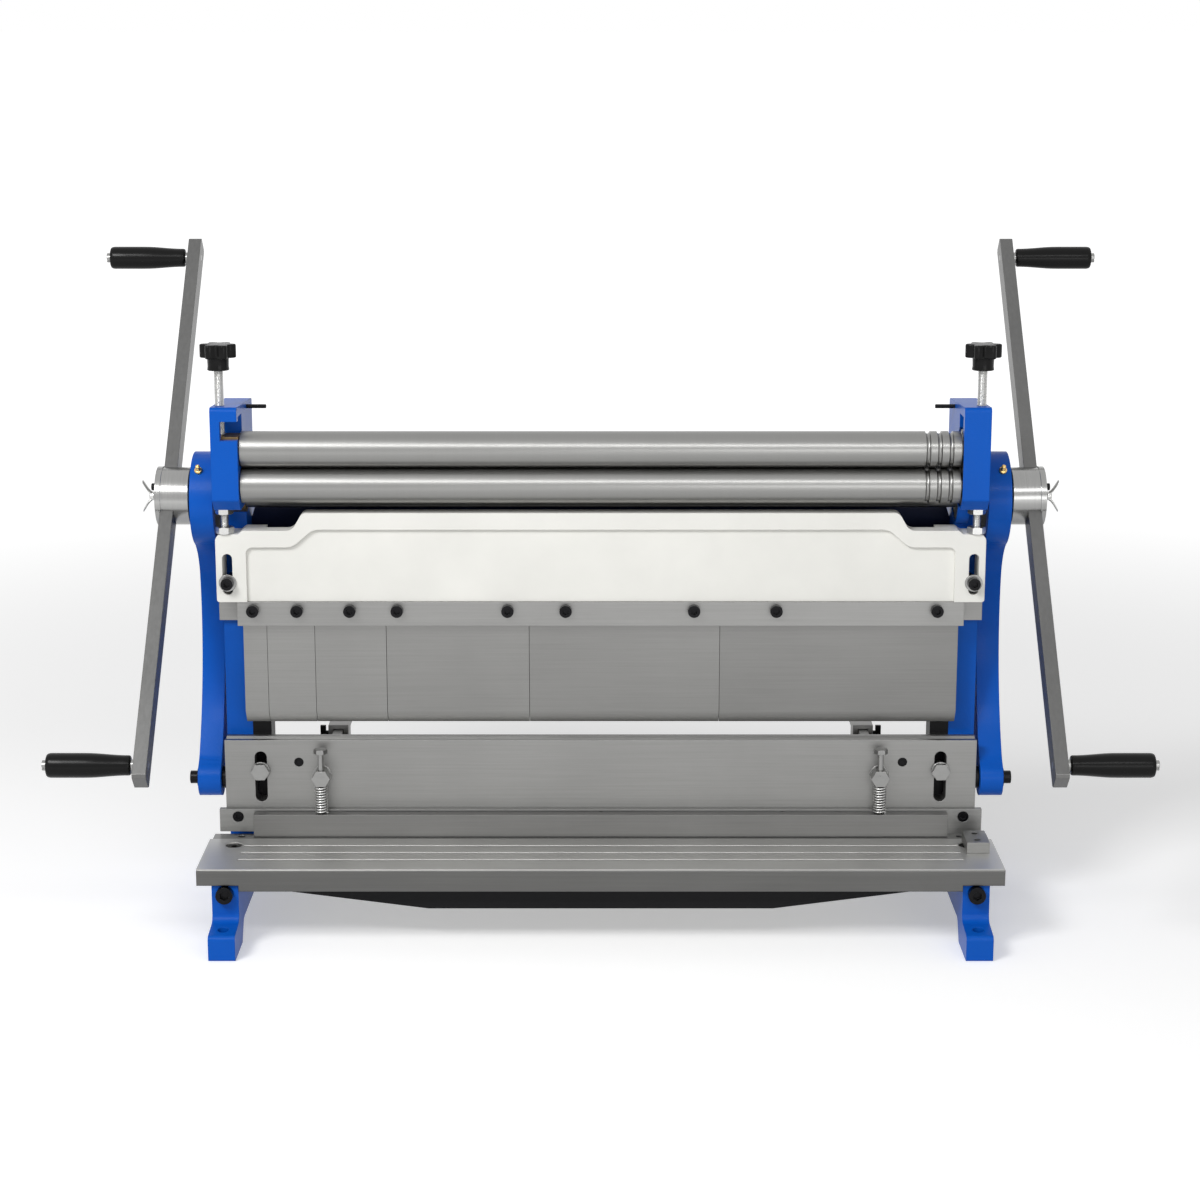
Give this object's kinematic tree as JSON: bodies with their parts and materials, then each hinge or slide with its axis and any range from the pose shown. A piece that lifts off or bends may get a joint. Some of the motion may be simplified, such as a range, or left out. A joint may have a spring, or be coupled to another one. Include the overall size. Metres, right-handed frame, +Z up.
{
  "type": "slip roll machine",
  "caption": "Bench machine that shears, bends and rolls sheet metal between two cast side frames, worked by a crank bar with hand grips on each side.",
  "frame": {"origin": "centre of the four foot bolts, on the plane of the feet", "axes": "+Z up, +X across the machine to the operator's right, the operator stands on the -Y side"},
  "size_m": [1.1146, 0.5028, 0.7034],
  "materials": {
    "blue_paint": "gloss enamel over cast iron",
    "cream_paint": "satin enamel over cast iron",
    "navy_paint": "satin enamel",
    "ground_steel": "surface ground",
    "blade_steel": "ground tool steel",
    "polished_roll": "turned and polished",
    "black_oxide": "black oxide",
    "zinc_plate": "bright zinc",
    "cast_gear": "machined",
    "bronze_bush": "machined bronze",
    "black_plastic": "moulded"
  },
  "bodies": {
    "frame": {"left_side_frame": "blue_paint", "right_side_frame": "blue_paint", "table": "ground_steel", "table_stiffener": "black_oxide", "lower_blade": "blade_steel", "table_screws": "black_oxide", "side_guide_block": "blade_steel", "upper_beam": "cream_paint", "beam_bolts": "black_oxide", "jack_bolts": "zinc_plate", "back_ledge_bar": "ground_steel", "clamp_bar": "ground_steel", "clamp_screws": "black_oxide", "finger_1in": "ground_steel", "finger_2in": "ground_steel", "finger_3in": "ground_steel", "finger_6in": "ground_steel", "finger_8in": "ground_steel", "finger_10in": "ground_steel", "cross_panel": "navy_paint", "tie_rods": "polished_roll", "beam_guides": "black_oxide", "guide_bolts": "zinc_plate", "shaft_bushes": "bronze_bush"},
    "moving_beam": {"bend_beam": "ground_steel", "upper_blade": "blade_steel", "blade_screws": "black_oxide", "arm_pins": "black_oxide", "hold_down_studs": "zinc_plate", "hold_down_springs": "zinc_plate", "gauge_bars": "ground_steel"},
    "hold_down": {"hold_down_bar": "blade_steel", "hold_down_bolts": "zinc_plate"},
    "gauge": {"back_gauge": "ground_steel", "gauge_wing_screws": "black_oxide"},
    "drive": {"drive_shaft": "polished_roll", "drive_gear": "cast_gear", "eccentrics": "cast_gear", "left_hub": "zinc_plate", "right_hub": "zinc_plate", "left_crank_bar": "zinc_plate", "right_crank_bar": "zinc_plate", "grip_bolts": "zinc_plate"},
    "left_wing": {"left_wing_bolt": "zinc_plate"},
    "right_wing": {"right_wing_bolt": "zinc_plate"},
    "left_arm": {"left_arm": "blue_paint"},
    "right_arm": {"right_arm": "blue_paint"},
    "grip_left_upper": {"left_upper_grip": "black_plastic"},
    "grip_left_lower": {"left_lower_grip": "black_plastic"},
    "grip_right_upper": {"right_upper_grip": "black_plastic"},
    "grip_right_lower": {"right_lower_grip": "black_plastic"},
    "lower_roll": {"lower_roll": "polished_roll"},
    "upper_roll": {"upper_roll": "polished_roll"},
    "rear_roll": {"rear_roll": "polished_roll"},
    "upper_carriage": {"upper_roll_blocks": "bronze_bush"},
    "rear_carriage": {"rear_roll_blocks": "bronze_bush"},
    "left_knob": {"left_adjusting_knob": "black_plastic"},
    "right_knob": {"right_adjusting_knob": "black_plastic"},
    "rear_knob_left": {"left_rear_knob": "black_plastic"},
    "rear_knob_right": {"right_rear_knob": "black_plastic"}
  },
  "joints": [
    {"name": "crank_turn", "type": "hinge", "parent": "frame", "child": "drive", "pos_m": [0, 0.01178, 0.452], "axis": [1, 0, 0], "range_deg": [-16, 50]},
    {"name": "beam_slide", "type": "slide", "parent": "frame", "child": "moving_beam", "axis": [0, 0, 1], "range_m": [-0.0054, 0.0166]},
    {"name": "left_arm_turn", "type": "hinge", "parent": "drive", "child": "left_arm", "pos_m": [-0.42125, 0.0309, 0.44615], "axis": [1, 0, 0], "range_deg": [-50, 16]},
    {"name": "right_arm_turn", "type": "hinge", "parent": "drive", "child": "right_arm", "pos_m": [0.42125, 0.0309, 0.44615], "axis": [1, 0, 0], "range_deg": [-50, 16]},
    {"name": "lower_roll_turn", "type": "hinge", "parent": "frame", "child": "lower_roll", "pos_m": [0, -0.026, 0.4704], "axis": [1, 0, 0], "range_deg": [-60, 19.2]},
    {"name": "upper_roll_turn", "type": "hinge", "parent": "upper_carriage", "child": "upper_roll", "pos_m": [0, -0.026, 0.5086], "axis": [1, 0, 0], "range_deg": [-19.2, 60]},
    {"name": "upper_roll_lift", "type": "slide", "parent": "frame", "child": "upper_carriage", "axis": [0, 0, 1], "range_m": [0, 0.003]},
    {"name": "left_knob_turn", "type": "hinge", "parent": "upper_carriage", "child": "left_knob", "pos_m": [-0.397, -0.026, 0.6], "axis": [0, 0, 1], "range_deg": [0, 540]},
    {"name": "right_knob_turn", "type": "hinge", "parent": "upper_carriage", "child": "right_knob", "pos_m": [0.397, -0.026, 0.6], "axis": [0, 0, 1], "range_deg": [0, 540]},
    {"name": "rear_roll_shift", "type": "slide", "parent": "frame", "child": "rear_carriage", "axis": [0, 1, 0], "range_m": [-0.006, 0]},
    {"name": "rear_knob_left_turn", "type": "hinge", "parent": "rear_carriage", "child": "rear_knob_left", "pos_m": [-0.397, 0.09, 0.488], "axis": [0, 1, 0], "range_deg": [0, 1080]},
    {"name": "rear_knob_right_turn", "type": "hinge", "parent": "rear_carriage", "child": "rear_knob_right", "pos_m": [0.397, 0.09, 0.488], "axis": [0, 1, 0], "range_deg": [0, 1080]},
    {"name": "rear_roll_turn", "type": "hinge", "parent": "rear_carriage", "child": "rear_roll", "pos_m": [0, 0.024, 0.488], "axis": [1, 0, 0], "continuous": true},
    {"name": "hold_down_lift", "type": "slide", "parent": "moving_beam", "child": "hold_down", "axis": [0, 0, 1], "range_m": [-0.0166, 0.0054], "deforming": ["hold_down_springs"]},
    {"name": "gauge_shift", "type": "slide", "parent": "moving_beam", "child": "gauge", "axis": [0, 1, 0], "range_m": [0, 0.16]},
    {"name": "left_wing_turn", "type": "hinge", "parent": "drive", "child": "left_wing", "pos_m": [-0.475, 0.01178, 0.452], "axis": [1, 0, 0], "range_deg": [0, 180]},
    {"name": "right_wing_turn", "type": "hinge", "parent": "drive", "child": "right_wing", "pos_m": [0.475, 0.01178, 0.452], "axis": [1, 0, 0], "range_deg": [0, 180]},
    {"name": "grip_left_upper_turn", "type": "hinge", "parent": "drive", "child": "grip_left_upper", "pos_m": [-0.51, 0.24229, 0.68252], "axis": [1, 0, 0], "continuous": true},
    {"name": "grip_left_lower_turn", "type": "hinge", "parent": "drive", "child": "grip_left_lower", "pos_m": [-0.51, -0.21874, 0.22148], "axis": [1, 0, 0], "continuous": true},
    {"name": "grip_right_upper_turn", "type": "hinge", "parent": "drive", "child": "grip_right_upper", "pos_m": [0.51, 0.24229, 0.68252], "axis": [1, 0, 0], "continuous": true},
    {"name": "grip_right_lower_turn", "type": "hinge", "parent": "drive", "child": "grip_right_lower", "pos_m": [0.51, -0.21874, 0.22148], "axis": [1, 0, 0], "continuous": true}
  ],
  "couplings": [
    {"joint": "beam_slide", "follows": "crank_turn", "m_per_rad": 0.019},
    {"joint": "left_arm_turn", "follows": "crank_turn", "ratio": -1},
    {"joint": "right_arm_turn", "follows": "crank_turn", "ratio": -1},
    {"joint": "lower_roll_turn", "follows": "crank_turn", "ratio": -1.2},
    {"joint": "upper_roll_turn", "follows": "crank_turn", "ratio": 1.2},
    {"joint": "hold_down_lift", "follows": "crank_turn", "m_per_rad": -0.019},
    {"joint": "left_knob_turn", "follows": "upper_roll_lift", "rad_per_m": 3141.6},
    {"joint": "right_knob_turn", "follows": "upper_roll_lift", "rad_per_m": 3141.6},
    {"joint": "rear_knob_left_turn", "follows": "rear_roll_shift", "rad_per_m": -3141.6},
    {"joint": "rear_knob_right_turn", "follows": "rear_roll_shift", "rad_per_m": -3141.6}
  ]
}
